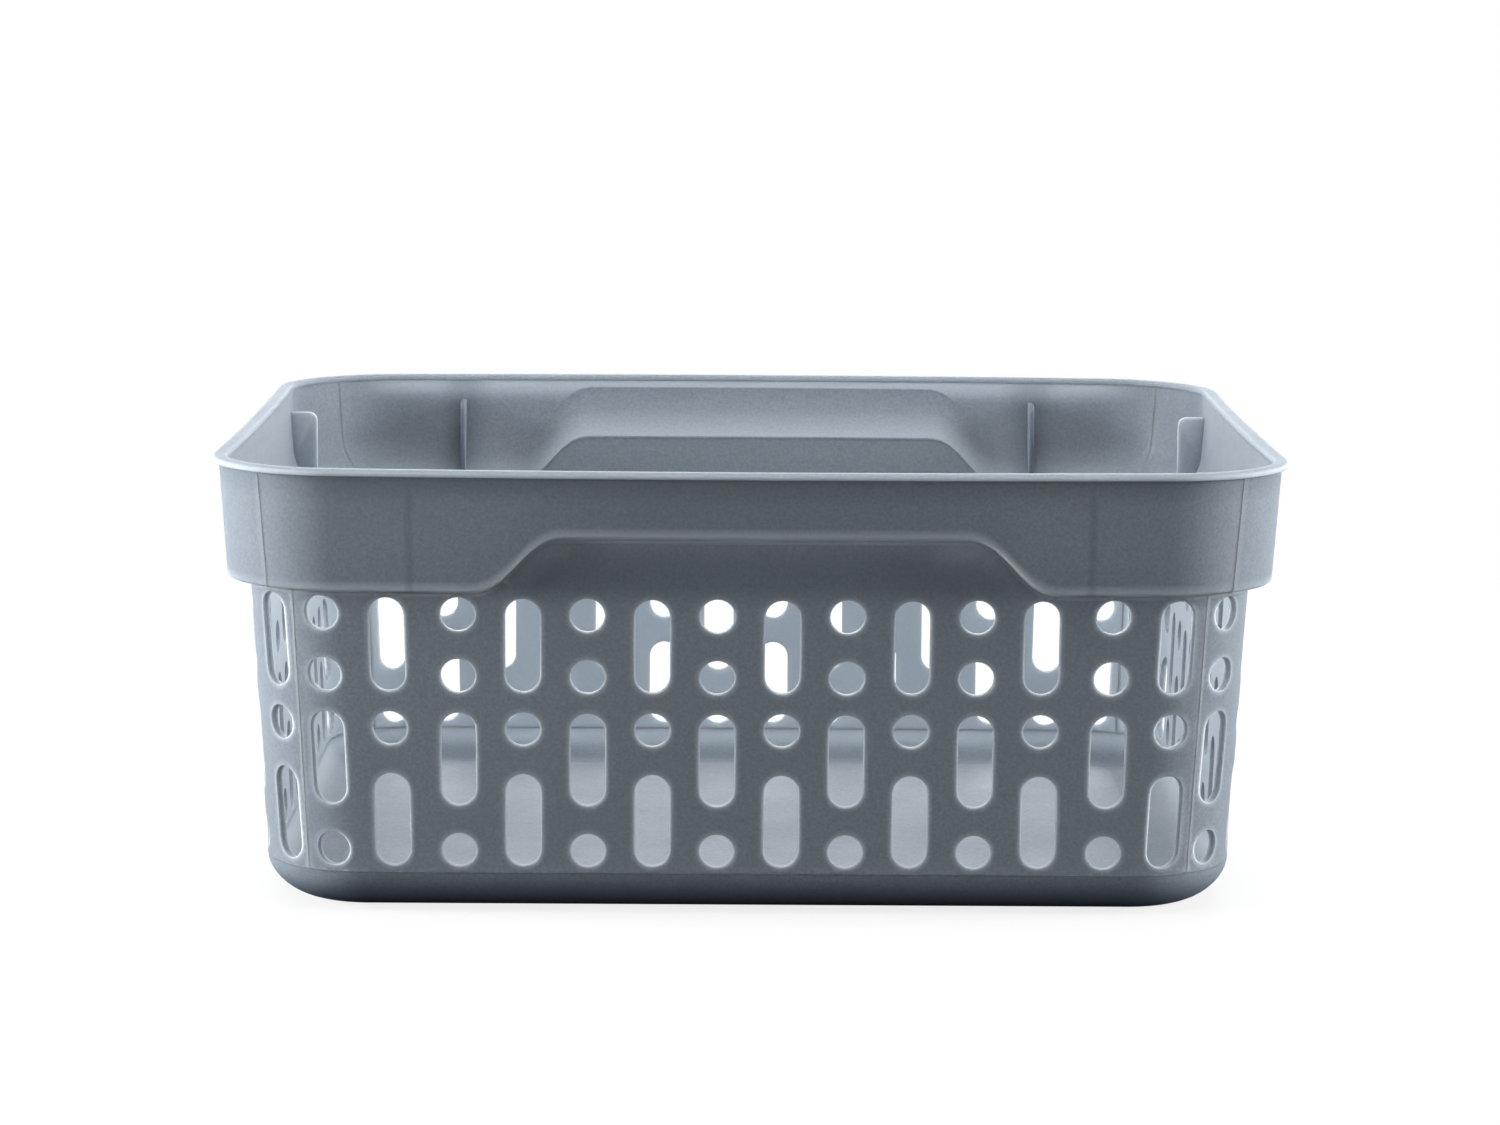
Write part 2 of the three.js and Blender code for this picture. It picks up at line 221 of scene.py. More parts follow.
def place_on_flat(side, run, straight):
    """The place at a run from the middle of a side, on its flat part."""
    return 2 * side + 0.5 + 0.5 * run / straight


def collar_foot_at(place):
    """The height of the collar's foot."""
    x = outline_points(collar_plan(COLLAR_FOOT), place)[..., 0]
    from_foot = HANDLE_FOOT_REACH - np.abs(x - HANDLE_OFFSET)
    slope_share = from_foot / (HANDLE_FOOT_REACH - HANDLE_TOP_REACH)
    side = np.floor(place / 2)
    on_long_side = (side % 2 == 0) & (place - 2 * side <= 1)
    return COLLAR_FOOT + np.where(on_long_side, HANDLE_HEIGHT * smooth(slope_share), 0)


def make_piece(name, points, faces, nodes, material, attributes=None):
    """A smooth mesh piece from points in millimetres, which stands for CAD nodes. Attributes
    hold one value for each point."""
    mesh = bpy.data.meshes.new(name)
    mesh.from_pydata((np.asarray(points) * METRES).tolist(), [], faces)
    mesh.validate()
    for title, values in (attributes or {}).items():
        layer = mesh.attributes.new(title, "FLOAT", "POINT")
        layer.data.foreach_set("value", np.asarray(values, np.float32))
    mesh.shade_smooth()
    mesh.set_sharp_from_angle(angle=SHARP_ANGLE)
    mesh.materials.append(material)
    piece = bpy.data.objects.new(name, mesh)
    bpy.context.scene.collection.objects.link(piece)
    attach(piece, "root")
    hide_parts(*nodes)
    return piece


def round_corners(section, roundings, steps=4):
    """Rounds the corners of a closed section of plans by curves. A corner's rounding is the
    length that the curve takes off each of its edges."""
    rounded = []
    corners = [np.array(plan, float) for plan in section]
    for i, corner in enumerate(corners):
        size = roundings[i]
        if size == 0:
            rounded.append(corner)
            continue
        start = corner + size * direction(corner, corners[i - 1])
        end = corner + size * direction(corner, corners[(i + 1) % len(corners)])
        for step in range(steps + 1):
            share = step / steps
            rounded.append(mix(mix(start, corner, share), mix(corner, end, share), share))
    return np.array(rounded)


def direction(start, end):
    """The direction between two plans, where 1 is a millimetre of inset and height together."""
    reach = end - start
    return reach / math.hypot(reach[0], reach[-1])


def sweep(places, section_at, closed):
    """Points and faces of a section swept along places, with flat ends unless it is closed."""
    sections = [section_at(place) for place in places]
    count = len(sections[0])
    plans = Plan(*np.moveaxis(np.array(sections), -1, 0))
    points = outline_points(plans, np.array(places)[:, None])
    faces = []
    rows = len(places)
    for i in range(rows if closed else rows - 1):
        a = i * count
        b = ((i + 1) % rows) * count
        for j in range(count):
            k = (j + 1) % count
            faces.append((a + j, b + j, b + k, a + k))
    if not closed:
        faces.append(tuple(range(count)))
        faces.append(tuple(range(rows * count - 1, (rows - 1) * count - 1, -1)))
    return points.reshape(-1, 3), faces


def evenly(start, end, step):
    """Values from start to end, both included, no more than a step apart."""
    return evenly_many(start, end, max(2, math.ceil(abs(end - start) / step) + 1))


def evenly_many(start, end, count):
    return [mix(start, end, i / (count - 1)) for i in range(count)]


def places_of_face(side):
    """Places along one mould face: its flat side and both corners as far as the mould parts."""
    start = 2 * side - 0.5
    end = 2 * side + 1.5
    edge = LINE_WIDTH / (RIM_RADIUS * QUARTER_TURN)
    before = evenly(start + edge, 2 * side, FACE_CORNER_STEP)
    flat = evenly(2 * side, 2 * side + 1, FACE_FLAT_STEP)
    after = evenly(2 * side + 1, end - edge, FACE_CORNER_STEP)
    return sorted({start, *before, *flat, *rib_places(side), *after, end})


def rib_places(side):
    """Places close beside the ribs of a long side, for the edges of their painted shade."""
    if side % 2 == 1:
        return []
    straight = RIM_WIDTH / 2 - RIM_RADIUS
    reach = RIB_LINE_CORE + RIB_LINE_FADE
    runs = [FRONT_RIB_PLACE + share * reach for share in (-1, -0.5, 0, 0.5, 1)]
    return [place_on_flat(side, sense * run, straight) for run in runs for sense in (1, -1)]


def places_round():
    """Places all the way round a closed outline."""
    places = []
    for side in range(4):
        places += evenly(2 * side, 2 * side + 1, ROUND_FLAT_STEP)[:-1]
        places += evenly(2 * side + 1, 2 * side + 2, ROUND_CORNER_STEP)[:-1]
    return places


# Shape of the collar. Its section runs down the inner face and up the outer one. These count
# the rounded section's points on each face, and the last is the wall's edge at the seam.
COLLAR_INNER_POINTS = 6
COLLAR_OUTER_POINTS = 9
COLLAR_SEAM_POINT = 17

# How far the corners of the collar's section are rounded, and the room kept over the highest
RAMP_TOP_ROUNDING = 3.0
RAMP_FOOT_ROUNDING = 0.5
UNDERSIDE_ROUNDING = 1.0
SKIRT_INNER_ROUNDING = 0.4
SKIRT_OUTER_ROUNDING = 0.9
ROUNDING_CLEARANCE = 0.4

# Painted light on the collar: above its foot, under the lip inside, and at mould lines and seam
FOOT_GLOW_CORE = 0.8
FOOT_GLOW_FADE = 1.8
FOOT_EDGE_REACH = 1.2
FOOT_EDGE_GLOW = 0.8
FOOT_CORNER_GLOW = 0.35
LIP_GLOW_REACH = 7
LIP_GLOW = 1.3
LINE_GLOW = 0.3
SEAM_GLOW = 2
BELOW_FOOT = 0.4

# Shares of a side, from a mould line, over which the glow of the line fades and the others rise
LINE_FADE_SHARE = 0.02
CORNER_FADE_SHARE = 0.6

# Painted shade on the collar: under the lip outside, and at the ribs, as a line outside and
# a wider patch inside
LIP_SHADE_REACH = 6
LIP_SHADE_CORE_SHARE = 3 / 13
LIP_SHADE = 0.9
RIB_LINE_CORE = 0.2
RIB_LINE_FADE = 1.2
RIB_PATCH_CORE = 1
RIB_PATCH_FADE = 8


def collar_section(place, rise):
    """The collar's section, whose outer face stands out by the rise of a mould line."""
    foot = float(collar_foot_at(place))
    ramp_top = foot - RAMP_START + RAMP_RISE
    underside_top = ramp_top - RAMP_THICKNESS
    underside_foot = underside_top - RAMP_UNDERSIDE_DROP
    rounding_top = ramp_top + RAMP_TOP_ROUNDING + ROUNDING_CLEARANCE
    glow_foot = max(LIP_UNDERSIDE - LIP_GLOW_REACH, rounding_top)
    glow_top = foot + FOOT_GLOW_CORE + FOOT_GLOW_FADE
    heights = evenly_many(LIP_UNDERSIDE, glow_foot, COLLAR_INNER_POINTS)
    corners = [(inward(collar_plan(z), THICKNESS), 0) for z in heights]
    corners += [
        (inward(collar_plan(ramp_top), THICKNESS), RAMP_TOP_ROUNDING),
        (inward(wall_plan(foot - RAMP_START), THICKNESS), RAMP_FOOT_ROUNDING),
        (inward(wall_plan(underside_foot), THICKNESS), 0),
        (wall_plan(underside_foot), 0),
        (inward(collar_plan(underside_top), THICKNESS), UNDERSIDE_ROUNDING),
        (inward(collar_plan(foot), THICKNESS), SKIRT_INNER_ROUNDING),
        (inward(collar_plan(foot), -rise), SKIRT_OUTER_ROUNDING),
        (inward(collar_plan(glow_top), -rise), 0),
        (inward(collar_plan(LIP_UNDERSIDE - LIP_SHADE_REACH), -rise), 0),
        (inward(collar_plan(LIP_UNDERSIDE - LIP_SHADE_REACH / 2), -rise), 0),
        (inward(collar_plan(LIP_UNDERSIDE), -rise), 0),
    ]
    section = [plan for plan, _ in corners]
    return round_corners(section, [rounding for _, rounding in corners])


def make_collar(side, material):
    """One side of the collar, as far as the standing mould lines at its two corners."""
    places = places_of_face(side)
    rises = {places[0]: LINE_RISE, places[-1]: LINE_RISE}
    points, faces = sweep(
        places, lambda place: collar_section(place, rises.get(place, 0)), closed=False
    )
    name = SIDES[side] + "_collar"
    return make_piece(
        name + "_shell", points, faces, [name], material,
        {
            # Painted light and painted shade of the collar
            "painted_light": collar_glow(points, places, side),
            "shade": collar_shade(points, places, side),
        },
    )


def collar_glow(points, places, side):
    """Painted light on the collar's foot, mould lines, seam and inner face under the lip."""
    count = len(points) // len(places)
    inside, outside = collar_faces(count, len(places))
    feet = np.repeat(collar_foot_at(np.array(places)), count)
    above_foot = points[:, 2] - feet
    from_line = np.minimum(np.array(places) - places[0], places[-1] - np.array(places))
    from_corner = np.repeat(smooth(from_line / CORNER_FADE_SHARE), count)
    at_edge = FOOT_EDGE_GLOW * (1 - smooth(above_foot / FOOT_EDGE_REACH)) * outside
    at_foot = 1 - smooth((above_foot - FOOT_GLOW_CORE) / FOOT_GLOW_FADE) + at_edge
    at_seam = np.tile(np.arange(count) == COLLAR_SEAM_POINT, len(places))
    at_lip = 1 - smooth((LIP_UNDERSIDE - points[:, 2]) / LIP_GLOW_REACH)
    at_line = np.repeat(1 - smooth(from_line / LINE_FADE_SHARE), count) * ~inside
    on_long_side = side % 2 == 0
    return np.maximum.reduce([
        mix(FOOT_CORNER_GLOW, 1, from_corner) * at_foot * (above_foot > -BELOW_FOOT),
        LIP_GLOW * on_long_side * from_corner * at_lip * inside,
        LINE_GLOW * at_line,
        SEAM_GLOW * at_seam,
    ])


def collar_shade(points, places, side):
    """Painted shade under the lip, and on the long sides painted shade at the ribs."""
    _, outside = collar_faces(len(points) // len(places), len(places))
    reach_share = (LIP_UNDERSIDE - points[:, 2]) / LIP_SHADE_REACH
    fade_share = (reach_share - LIP_SHADE_CORE_SHARE) / (1 - LIP_SHADE_CORE_SHARE)
    under_lip = LIP_SHADE * (1 - smooth(fade_share)) * outside
    if side % 2 == 1:
        return under_lip
    away = np.abs(np.abs(points[:, 0]) - FRONT_RIB_PLACE)
    line = 1 - smooth((away - RIB_LINE_CORE) / RIB_LINE_FADE)
    patch = 1 - smooth((away - RIB_PATCH_CORE) / RIB_PATCH_FADE)
    return np.maximum(under_lip, np.where(outside, line, patch))


def collar_faces(count, places_count):
    """Which points lie on the collar's inner face over the ramp, and which on its outer face."""
    numbers = np.arange(count)
    inside = np.tile(numbers < COLLAR_INNER_POINTS, places_count)
    outside = np.tile(numbers >= count - COLLAR_OUTER_POINTS, places_count)
    return inside, outside


# Shape of the perforated walls. Each is one flat sheet of runs and heights, filled with
# triangles round its holes and then laid on the outer and the inner face.

# How far apart the sheet's points stand
BORDER_RUN_STEP = 1.5
BORDER_RISE_STEP = 2.5
GRID_PITCH = 2.6
GRID_CLEARANCE = 0.62 * GRID_PITCH
MERGE_DISTANCE = 1e-5

# Steps round each end of a hole, and along each straight edge of a slot
ARC_STEPS = 12
SLOT_STEPS = 6

# How far a hole is widened and how deep in the wall, from its outer edge to its inner one
HALFWAY_ROUND = HOLE_ROUNDING * (1 - math.sin(math.pi / 4))
HOLE_PROFILE = (
    (HOLE_ROUNDING, 0),
    (HALFWAY_ROUND, HALFWAY_ROUND),
    (0, HOLE_ROUNDING),
    (0, THICKNESS - HOLE_ROUNDING),
    (HALFWAY_ROUND, THICKNESS - HALFWAY_ROUND),
)

# Painted light on the walls: in the holes and round them, along the mould lines, under the
# collar and its slopes, and on the inner face, opposite the holes. Halos are reaches beyond a
# hole's edge, each with the painted light there.
HOLE_EDGE_GLOW = 0.9
TUNNEL_GLOW = 0.3
HALO_REACH = 1.3
HALOS = ((0.4, 0.4), (HALO_REACH, 0))
LINE_GLOW_REACH = 0.9
FOOT_LINE_START_SHARE = 0.5
FOOT_LINE_FADE_SHARE = 0.35
TOP_GLOW_REACH = 1
TOP_GLOW = 2
TOP_GLOW_END = 0.2
SLOPE_GLOW = 0.65
SLOPE_GLOW_RUN = 15
SLOPE_GLOW_DROP = 12
INNER_GLOW = 1.5
INNER_GLOW_FADE = 8

# Painted shade on the walls: in a band over the holes, which fades close under the recess
WALL_SHADE = 1.45
WALL_SHADE_START = 1
WALL_SHADE_RISE = 7
WALL_SHADE_FADE = 8.5


def place_at_run(side, run, z):
    """The place at a run along the wall's outline, measured from the middle of a side."""
    plan = wall_plan(z)
    straight = straight_run(side, plan)
    beyond = np.abs(run) - straight
    bend = bend_of_angle(beyond / plan.radius, parting_from(side, plan.parting))
    on_flat = place_on_flat(side, run, straight)
    on_corner = np.where(run > 0, 2 * side + 1 + bend / 2, 2 * side - bend / 2)
    return np.where(beyond <= 0, on_flat, on_corner)


def run_at_place(side, place, z):
    """The run at a place, the other way round."""
    plan = wall_plan(z)
    straight = straight_run(side, plan)
    from_middle = place - 2 * side - 0.5
    bend = 2 * (np.abs(from_middle) - 0.5)
    angle = angle_of_bend(bend, parting_from(side, plan.parting))
    on_corner = np.sign(from_middle) * (straight + plan.radius * angle)
    return np.where(bend <= 0, 2 * from_middle * straight, on_corner)


def last_column(side):
    """The run of the last column on the flat part of a side."""
    return SPREAD_SHARES[side] * straight_run(side, wall_plan(WALL_FOOT))


def column_rows(kind):
    """Heights of a column's holes and half the straight length of each."""
    if kind == 0:
        return [
            (FOOT_ROW, 0),
            (FOOT_ROW + 3 * ROW_STEP, SLOT_HALF),
            (TOP_ROW - 2 * ROW_STEP, 0),
            (TOP_ROW, 0),
        ]
    return [
        (FOOT_ROW + ROW_STEP, SLOT_HALF),
        (FOOT_ROW + 4 * ROW_STEP, 0),
        (TOP_ROW - ROW_STEP, SLOT_HALF),
    ]


def wall_columns(side):
    """Kinds and runs of the columns on one wall. A run is a function of the height."""
    count = COLUMN_COUNTS[side]
    sense = 1 if side < 2 else -1
    first_kind = 1 if side == 1 else 0
    reach = last_column(side)
    columns = []
    for i in range(count):
        offset = sense * reach * (2 * i / (count - 1) - 1)
        columns.append(((i + first_kind) % 2, lambda z, offset=offset: offset))
    for sense in (1, -1):
        corner = side if sense > 0 else (side + 3) % 4
        corner_kind = 0 if corner < 2 else 1
        corner_shares = FRONT_CORNER_SHARES if side % 2 == 0 else SIDE_CORNER_SHARES
        shares = [(share, (i + corner_kind) % 2) for i, share in enumerate(corner_shares)]
        if side % 2 == 1:
            shares.append((1, corner_kind))
        for share, kind in shares:
            columns.append((kind, corner_run(side, sense, share)))
    return columns


def corner_run(side, sense, share):
    """A column's run as a function of the height, at a share of the way into the corner."""
    reach = last_column(side)

    def run(z):
        plan = wall_plan(z)
        middle = straight_run(side, plan) + plan.radius * QUARTER_TURN / 2
        return sense * mix(reach, middle, share)

    return run


def hole_loop(half_length, grown):
    """A circle or slot round the origin, as points anticlockwise. Grown widens it all round."""
    radius = HOLE_RADIUS + grown
    is_slot = half_length > 0
    points = []
    for end in (1, -1):
        for i in range(ARC_STEPS + is_slot):
            angle = (i / ARC_STEPS + (end < 0)) * math.pi
            points.append((radius * math.cos(angle), radius * math.sin(angle) + end * half_length))
        for i in range(1, SLOT_STEPS if is_slot else 0):
            points.append((-end * radius, end * half_length * (1 - 2 * i / SLOT_STEPS)))
    return np.array(points)


def within(points, loop):
    """Which points lie inside a loop: a line to their right crosses it an odd number of times."""
    x, y = np.array(points).T[:, :, None]
    start_x, start_y = np.array(loop).T
    end_x, end_y = np.roll(loop, -1, axis=0).T
    spans = (start_y > y) != (end_y > y)
    rise = np.where(end_y == start_y, 1, end_y - start_y)
    crossing = start_x + (y - start_y) / rise * (end_x - start_x)
    return (spans & (crossing > x)).sum(axis=1) % 2 == 1


class WallSheet:
    """The flat sheet of one perforated wall. Its runs are those halfway up the wall."""

    def __init__(self, side):
        self.side = side
        self.middle = (COLLAR_FOOT + WALL_FOOT) / 2
        self.end = float(self.run_of(2 * side + 1.5))
        self.points = []
        self.edges = []
        self.glow = []
        self.holes = []
        self.loops = []
        self.centres = []
        self.extras = []
        self.add_border()
        for kind, run_at in wall_columns(side):
            for height, half_length in column_rows(kind):
                self.add_hole(run_at, height, half_length)
        self.add_extras()
        self.add_grid()

    def run_of(self, place):
        return run_at_place(self.side, place, self.middle)

    def place_of(self, run):
        return place_at_run(self.side, run, self.middle)

    def top_of(self, run):
        return collar_foot_at(self.place_of(run)) - WALL_TOP_DROP

    def recess_share(self, run):
        """How far the top has risen over a run, from 0 outside the handle recess to 1 in it."""
        return (self.top_of(run) + WALL_TOP_DROP - COLLAR_FOOT) / HANDLE_HEIGHT

    def add(self, points, glow, looped=False):
        start = len(self.points)
        self.points += [tuple(point) for point in points]
        self.glow += [glow] * len(points)
        indices = list(range(start, len(self.points)))
        if looped:
            self.edges += list(zip(indices, indices[1:] + indices[:1]))
        return indices

    def add_border(self):
        """Adds the border, and keeps the lines along it for later."""
        runs = evenly(-self.end, self.end, BORDER_RUN_STEP)
        rises = evenly(WALL_FOOT, float(self.top_of(self.end)), BORDER_RISE_STEP)
        foot = [(run, WALL_FOOT) for run in runs]
        right = [(self.end, z) for z in rises[1:-1]]
        top = [(run, float(self.top_of(run))) for run in reversed(runs)]
        left = [(-self.end, z) for z in reversed(rises[1:-1])]
        self.border = self.add(foot + right + top + left, 0, looped=True)
        foot_line = [(run, WALL_FOOT + LINE_WIDTH) for run in runs[1:-1]]
        top_line = [(run, float(self.top_of(run)) - TOP_GLOW_REACH) for run in runs[1:-1]]
        self.extras += [(foot_line, 0), (top_line, TOP_GLOW_END)]
        for run in (self.end - LINE_WIDTH, self.end - LINE_GLOW_REACH):
            for end in (run, -run):
                self.extras.append(([(end, z) for z in rises[1:-1]], 0))

    def add_hole(self, run_at, height, half_length):
        """Adds a hole's outer edge, and keeps its rings through the wall and its halos."""
        rings = [self.hole_ring(run_at, height, half_length, grown) for grown, _ in HOLE_PROFILE]
        loop = rings[0][0]
        skin = self.add(loop, HOLE_EDGE_GLOW, looped=True)
        centre = self.run_of(place_at_run(self.side, run_at(height), height))
        self.holes.append((skin, [ring[1:] for ring in rings]))
        self.loops.append(loop)
        self.centres.append((float(centre), height, half_length))
        for reach, glow in HALOS:
            halo = self.hole_ring(run_at, height, half_length, HOLE_ROUNDING + reach)[0]
            self.extras.append((halo, glow))

    def hole_ring(self, run_at, height, half_length, grown):
        """A ring of a hole as points of the sheet, and its places and heights on the wall."""
        loop = hole_loop(half_length, grown)
        heights = height + loop[:, 1]
        runs = np.array([run_at(z) for z in heights]) + loop[:, 0]
        places = place_at_run(self.side, runs, heights)
        return np.stack([self.run_of(places), heights], axis=-1), places, heights

    def add_extras(self):
        """Adds what stands on the wall of the kept lines and halos, clear of every hole."""
        outline = np.array([self.points[i] for i in self.border])
        for points, glow in self.extras:
            points = np.array(points)
            kept = within(points, outline) & ~self.in_loops(points)
            self.add(points[kept], glow)

    def in_loops(self, points):
        found = np.zeros(len(points), bool)
        for loop in self.loops:
            found |= within(points, loop)
        return found

    def add_grid(self):
        """Fills the space that is left with a staggered grid of points."""
        blocked = np.array(self.points)
        rows = int((COLLAR_FOOT + HANDLE_HEIGHT - WALL_FOOT) / GRID_PITCH)
        for row in range(1, rows):
            z = WALL_FOOT + row * GRID_PITCH
            shift = GRID_PITCH / 2 if row % 2 else 0
            first = -self.end + GRID_CLEARANCE + shift
            for run in np.arange(first, self.end - GRID_CLEARANCE, GRID_PITCH):
                if z > self.top_of(run) - GRID_CLEARANCE:
                    continue
                away = np.hypot(blocked[:, 0] - run, blocked[:, 1] - z).min()
                if away > GRID_CLEARANCE and not self.in_halo(run, z):
                    self.add([(run, z)], 0)

    def in_halo(self, run, z):
        for centre, height, half_length in self.centres:
            drop = max(0, abs(z - height) - half_length)
            if math.hypot(run - centre, drop) < HOLE_RADIUS + HOLE_ROUNDING + HALO_REACH:
                return True
        return False

    def triangles(self):
        """Triangles between the border and the holes."""
        corners = [Vector(point) for point in self.points]
        only_inside = 1
        result = delaunay_2d_cdt(corners, self.edges, [self.border], only_inside, MERGE_DISTANCE)
        origins = [group[0] if group else None for group in result[3]]
        triangles = [[origins[i] for i in face] for face in result[2]]
        middles = np.array(self.points)[triangles].mean(axis=1)
        clear = ~self.in_loops(middles)
        return [tuple(triangle) for triangle, kept in zip(triangles, clear) if kept]


def make_wall(side, material):
    """A perforated wall: two faces, the strip along their edges and the tunnels of the holes."""
    sheet = WallSheet(side)
    count = len(sheet.points)
    runs, heights = np.array(sheet.points).T
    places = sheet.place_of(runs)
    outer = wall_surface(places, heights, -line_rise(sheet, runs, heights))
    blocks = [outer, wall_surface(places, heights, THICKNESS)]
    # Painted light on the inner face, fading out just above the top row of holes
    inner_glow = INNER_GLOW * smooth((TOP_ROW + INNER_GLOW_FADE - heights) / INNER_GLOW_FADE)
    glow = [np.maximum(sheet.glow, wall_glow(sheet, runs, heights)), inner_glow]
    faces = sheet.triangles()
    faces += [tuple(count + i for i in reversed(face)) for face in faces]
    faces += strip(sheet.border, [count + i for i in sheet.border])
    total = 2 * count
    for skin, rings in sheet.holes:
        above = skin
        for (_, depth), (ring_places, ring_heights) in list(zip(HOLE_PROFILE, rings))[1:]:
            blocks.append(wall_surface(ring_places, ring_heights, depth))
            glow.append(np.full(len(ring_places), TUNNEL_GLOW))
            below = list(range(total, total + len(ring_places)))
            faces += strip(below, above)
            above = below
            total += len(ring_places)
        faces += strip([count + i for i in skin], above)
    shade = np.zeros(total)
    shade[:count] = wall_shade(sheet, runs, heights)
    name = SIDES[side] + "_wall"
    # Painted light of the wall, and painted shade on its outer face
    return make_piece(
        name + "_shell", np.concatenate(blocks), faces, [name], material,
        {"painted_light": np.concatenate(glow), "shade": shade},
    )


def wall_surface(places, heights, depth):
    return outline_points(inward(wall_plan(heights), depth), places)


def line_rise(sheet, runs, heights):
    """The mould lines stand out a little along the ends and the foot of each wall."""
    from_end = sheet.end - np.abs(runs)
    from_foot = heights - WALL_FOOT
    near = np.minimum(from_end, from_foot)
    return LINE_RISE * np.clip(1 - near / LINE_WIDTH, 0, 1)


def wall_glow(sheet, runs, heights):
    """Painted light on the mould lines, whose foot fades to the middle, and on the wall's top."""
    at_end = np.clip(1 - (sheet.end - np.abs(runs)) / LINE_GLOW_REACH, 0, 1)
    at_foot = np.clip(1 - (heights - WALL_FOOT) / LINE_WIDTH, 0, 1)
    beyond_share = np.abs(runs) / sheet.end - FOOT_LINE_START_SHARE
    at_foot = at_foot * smooth(beyond_share / FOOT_LINE_FADE_SHARE)
    from_top = sheet.top_of(runs) - heights
    at_top = TOP_GLOW * np.clip(1 - from_top / TOP_GLOW_REACH, 0, 1) ** 2
    from_slope = HANDLE_TOP_REACH + HANDLE_OFFSET - np.abs(runs)
    near_slope = (1 - smooth(from_slope / SLOPE_GLOW_RUN)) * sheet.recess_share(runs)
    under_slope = SLOPE_GLOW * near_slope * (1 - smooth(from_top / SLOPE_GLOW_DROP))
    return np.maximum.reduce([at_end, at_foot, at_top, under_slope])


def wall_shade(sheet, runs, heights):
    """Painted shade, darkest over the holes, and lighter again close under the recess."""
    from_top = sheet.top_of(runs) - heights
    near_top = mix(1, smooth(from_top / WALL_SHADE_FADE), sheet.recess_share(runs))
    return WALL_SHADE * smooth((heights - TOP_ROW - WALL_SHADE_START) / WALL_SHADE_RISE) * near_top


def strip(upper, lower):
    """Quads between two loops of the same length."""
    faces = []
    for i in range(len(upper)):
        k = (i + 1) % len(upper)
        faces.append((upper[i], lower[i], lower[k], upper[k]))
    return faces


# Shape of the lip, base and floor

# The lip's painted light rises over this share of its thickness from the top, and is less inside.
LIP_GLOW_SHARE = 0.4
LIP_INNER_GLOW = 0.4

# Steps of the base's curve. Painted shade outside towards its foot, painted light high up inside.
BASE_STEPS = 12
BASE_SHADE_REACH = 10.5
BASE_GLOW_START = 3
BASE_GLOW_RISE = 6

# The rings of the floor sheet, as shares of its outline, and the shallow gate mark of the
# moulding under its middle, as radii and how far they lie above the sheet
FLOOR_SHARES = (1, 0.8, 0.6, 0.4, 0.2)
GATE_MARK = ((9, 0), (8.6, 0.4), (3, 0.5), (2.4, 0.1), (1.6, -0.1))


def make_lip(material):
    """The flat lip, rounded most along its outer top edge."""
    width = LIP_OVERHANG + THICKNESS
    outer = level(LIP_CLEARANCE, RIM_RADIUS - LIP_CLEARANCE, HEIGHT)
    under = outer._replace(z=LIP_UNDERSIDE)
    section = [inward(outer, width), inward(under, width), under, outer]
    rounded = round_corners(section, [LIP_INNER_ROUNDING, 0, LIP_UNDER_ROUNDING, LIP_ROUNDING])
    places = places_round()
    points, faces = sweep(places, lambda place: rounded, closed=True)
    # Painted light on the lip below its top, less on its inner side
    drop_share = (HEIGHT - rounded[:, -1]) / LIP_THICKNESS
    side_glow = np.where(rounded[:, 0] < width / 2, 1, LIP_INNER_GLOW)
    glow = smooth(drop_share / LIP_GLOW_SHARE) * side_glow
    return make_piece(
        "rim_lip_shell", points, faces, ["rim_lip"], material,
        {"painted_light": np.tile(glow, len(places))},
    )


def make_base(material):
    """The rounded foot of the walls, with the flat ring that the basket stands on."""
    wall_foot = wall_plan(WALL_FOOT)
    floor_top = FLOOR_RECESS + FLOOR_THICKNESS
    outer = []
    inner = []
    for i in range(BASE_STEPS + 1):
        angle = i / BASE_STEPS * QUARTER_TURN
        in_share = 1 - max(0, math.cos(angle)) ** BASE_BOW
        down_share = math.sin(angle) ** BASE_BOW
        outer_plan = inward(wall_foot, BASE_INSET * in_share)
        inner_plan = inward(wall_foot, mix(THICKNESS, BASE_INSET, in_share))
        outer.append(outer_plan._replace(z=WALL_FOOT * (1 - down_share)))
        inner.append(inner_plan._replace(z=mix(WALL_FOOT, floor_top, down_share)))
    line = inward(outer[0], -LINE_RISE)
    below_line = outer[0]._replace(z=WALL_FOOT - LINE_WIDTH)
    foot = inward(wall_foot, BASE_INSET + FOOT_WIDTH)
    ring = [foot._replace(z=z) for z in (floor_top, FLOOR_RECESS, 0)]
    section = np.array([*inner, *ring, *reversed(outer[1:]), below_line, line], float)
    places = places_round()
    points, faces = sweep(places, lambda place: section, closed=True)
    first_outside = len(inner) + len(ring) - 1
    outside = np.tile(np.arange(len(section)) >= first_outside, len(places))
    # Painted shade on the outer face towards the foot, and painted light high up inside
    dark = 1 - smooth(points[:, 2] / BASE_SHADE_REACH)
    glow = INNER_GLOW * smooth((points[:, 2] - BASE_GLOW_START) / BASE_GLOW_RISE)
    return make_piece(
        "base_edge_shell", points, faces, ["base_edge"], material,
        {"painted_light": np.where(outside, 0, glow), "shade": np.where(outside, dark, 0)},
    )


